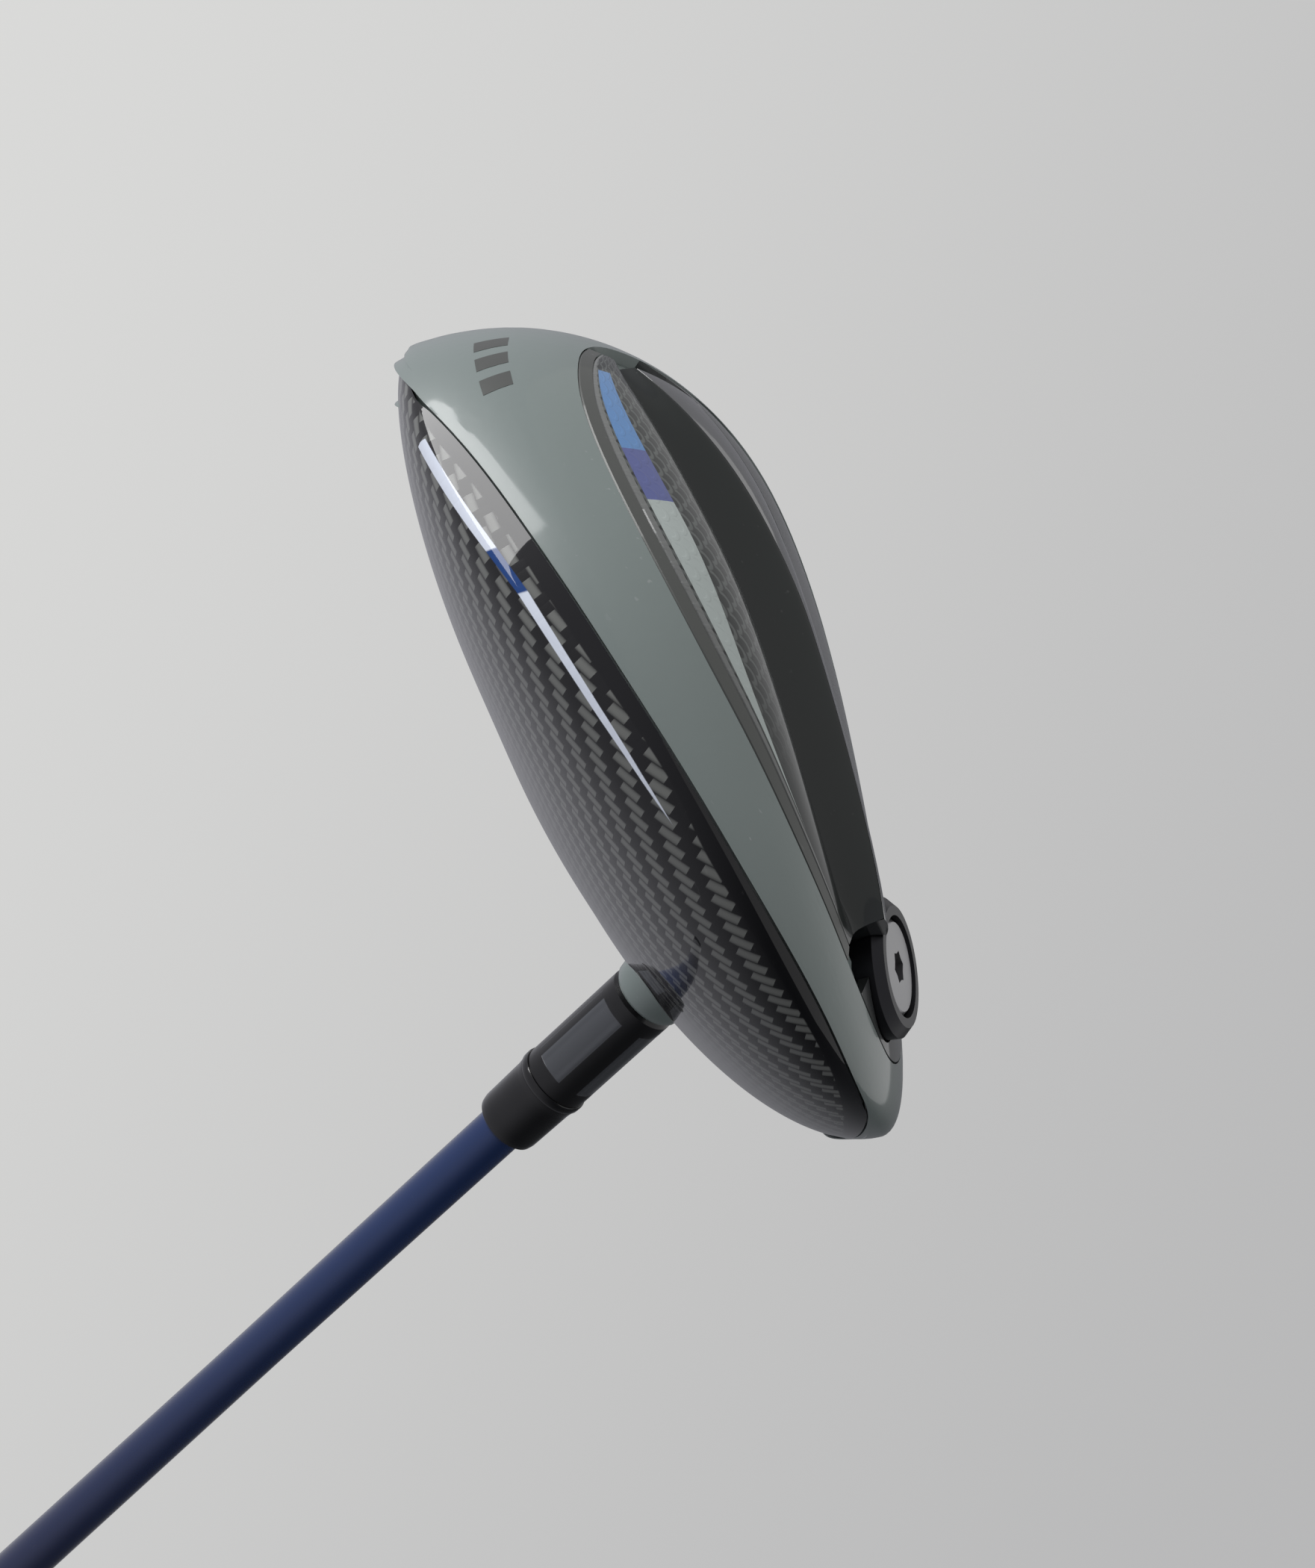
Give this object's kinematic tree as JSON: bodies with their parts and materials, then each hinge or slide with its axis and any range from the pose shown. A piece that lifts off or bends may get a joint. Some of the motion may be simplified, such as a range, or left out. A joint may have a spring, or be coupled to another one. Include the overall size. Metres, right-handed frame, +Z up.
{
  "type": "golf driver",
  "caption": "Golf driver with hollow head, carbon crown, adjustable sleeve held by a bolt, tapered shaft and rubber grip.",
  "frame": {"origin": "point on the shaft axis level with the ground just under the sole, with the club at its lie angle", "axes": "+Z up; shaft leans towards -X at 59.7 degrees to the ground in the XZ plane; toe towards +X; face towards +Y, trailing edge towards -Y"},
  "size_m": [0.6879, 0.1107, 1.0059],
  "materials": {
    "cast_metal": "glossy pale grey-green paint",
    "face": "brushed dark satin",
    "crown_composite": "clear-coated twill weave",
    "sole_composite": "clear-coated dark composite",
    "dark_composite": "glossy black",
    "trim": "satin grey",
    "dark_alloy": "dark anodised",
    "weight_steel": "satin",
    "bolt_steel": "satin",
    "seal_rubber": "matt",
    "ferrule_plastic": "glossy black",
    "shaft_graphite": "blue gloss over dark",
    "tape": "matt tape",
    "grip_rubber": "matt textured"
  },
  "bodies": {
    "club": {"shaft": "shaft_graphite", "tip_plug": "seal_rubber", "grip_tape": "tape", "grip": "grip_rubber", "grip_cap": "grip_rubber", "loft_sleeve": "dark_alloy", "ferrule": "ferrule_plastic", "ferrule_collar": "ferrule_plastic"},
    "head": {"head_casting": "cast_metal", "face_plate": "face", "crown_panel": "crown_composite", "toe_sole_panel": "sole_composite", "heel_sole_panel": "sole_composite", "sole_ridge": "dark_composite", "recess_trim": "trim", "weight_housing": "dark_alloy", "bolt_washer": "bolt_steel", "bolt_retainer": "seal_rubber"},
    "bolt": {"hosel_bolt": "bolt_steel"},
    "weight_lift": {"weight_seal": "seal_rubber"},
    "weight": {"rear_weight": "weight_steel"}
  },
  "joints": [
    {"name": "head_slide", "type": "slide", "parent": "club", "child": "head", "axis": [0.5045, 0, -0.8634], "range_m": [0, 0.009]},
    {"name": "bolt_turn", "type": "hinge", "parent": "head", "child": "bolt", "pos_m": [-0.01261, 0, 0.02159], "axis": [0.5045, 0, -0.8634], "range_deg": [0, 4051]},
    {"name": "weight_out", "type": "slide", "parent": "head", "child": "weight_lift", "axis": [0, -0.2079, -0.9781], "range_m": [0, 0.005]},
    {"name": "weight_turn", "type": "hinge", "parent": "weight_lift", "child": "weight", "pos_m": [0.014, -0.0705, 0.0034], "axis": [0, -0.2079, -0.9781], "range_deg": [0, 1801]}
  ],
  "couplings": [
    {"joint": "bolt_turn", "follows": "head_slide", "rad_per_m": 7854},
    {"joint": "weight_turn", "follows": "weight_out", "rad_per_m": 6283.2}
  ]
}
